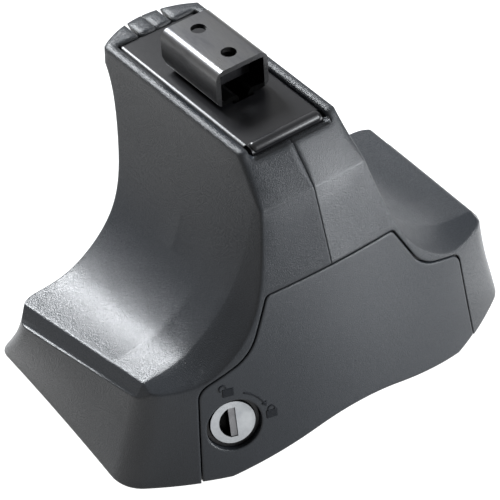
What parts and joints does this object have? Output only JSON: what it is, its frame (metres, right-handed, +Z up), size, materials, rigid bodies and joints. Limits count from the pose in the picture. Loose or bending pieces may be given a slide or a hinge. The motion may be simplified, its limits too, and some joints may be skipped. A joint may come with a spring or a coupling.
{
  "type": "roof bar foot",
  "caption": "Foot of a roof bar: waisted moulded housing with a locking front cover, a steel bar seat on top and a C-section clamp that a screw and crank draw down.",
  "frame": {"origin": "middle of the bar seat's top face", "axes": "+X across the foot along the vehicle, +Y along the bar towards the vehicle's middle, +Z up from the level rim; the bar seat leans by 5 degrees about X"},
  "size_m": [0.1924, 0.1482, 0.1361],
  "materials": {
    "housing_plastic": "fine grained charcoal moulding",
    "cover_plastic": "fine grained charcoal moulding",
    "painted_steel": "gloss black paint over folded steel",
    "bare_steel": "bare rolled steel, mottled",
    "plated_steel": "zinc plated",
    "lock_metal": "satin",
    "lock_black": "black"
  },
  "bodies": {
    "base": {"housing_left": "housing_plastic", "housing_right": "housing_plastic", "support_frame": "painted_steel", "pad_plate": "painted_steel", "plate_rivets": "plated_steel", "housing_screws": "plated_steel", "lever_pin": "plated_steel", "lever_clip": "plated_steel"},
    "clamp": {"bar_clamp": "bare_steel", "draw_bolt": "plated_steel"},
    "lever": {"clamp_lever": "plated_steel", "draw_pin": "plated_steel"},
    "nut": {"trunnion_nut": "plated_steel"},
    "carriage": {"claw_carriage": "plated_steel", "guide_pin": "plated_steel", "guide_clip": "plated_steel", "screw_washer": "plated_steel"},
    "screw": {"tension_screw": "plated_steel"},
    "cover": {"front_cover": "cover_plastic", "lock_barrel": "lock_black"},
    "plug": {"lock_plug": "lock_metal", "lock_cam": "plated_steel", "cam_screw": "plated_steel"},
    "shutter": {"key_shutter": "lock_metal"}
  },
  "joints": [
    {"name": "carriage_slide", "type": "slide", "parent": "base", "child": "carriage", "axis": [0, -0.9962, 0.0872], "range_m": [0, 0.0026]},
    {"name": "tension_screw_turn", "type": "hinge", "parent": "carriage", "child": "screw", "pos_m": [0, -0.0657, -0.06251], "axis": [0, -0.9962, 0.0872], "range_deg": [0, 1440]},
    {"name": "lever_swing", "type": "hinge", "parent": "base", "child": "lever", "pos_m": [0, -0.03372, -0.04122], "axis": [1, 0, 0], "range_deg": [0, 5.75]},
    {"name": "trunnion_turn", "type": "hinge", "parent": "lever", "child": "nut", "pos_m": [0, -0.03581, -0.06513], "axis": [-1, 0, 0], "range_deg": [0, 5.75]},
    {"name": "clamp_draw", "type": "slide", "parent": "base", "child": "clamp", "axis": [0, 0.0872, 0.9962], "range_m": [0, 0.003]},
    {"name": "cover_swing", "type": "hinge", "parent": "base", "child": "cover", "pos_m": [0.0667, -0.07957, -0.08338], "axis": [-0.0962, 0.1821, 0.9786], "range_deg": [0, 45]},
    {"name": "lock_turn", "type": "hinge", "parent": "cover", "child": "plug", "pos_m": [-0.0532, -0.0844, -0.0938], "axis": [0.3172, 0.8982, -0.3044], "range_deg": [0, 90]},
    {"name": "shutter_swing", "type": "hinge", "parent": "plug", "child": "shutter", "pos_m": [-0.05175, -0.08328, -0.09426], "axis": [-0.0732, -0.2968, -0.9521], "range_deg": [0, 70], "stiffness_Nm_per_rad": 0.0008}
  ],
  "couplings": [
    {"joint": "tension_screw_turn", "follows": "clamp_draw", "rad_per_m": 8376.6},
    {"joint": "carriage_slide", "follows": "clamp_draw", "ratio": 0.8663},
    {"joint": "lever_swing", "follows": "clamp_draw", "rad_per_m": 33.33},
    {"joint": "trunnion_turn", "follows": "clamp_draw", "rad_per_m": 33.33}
  ]
}
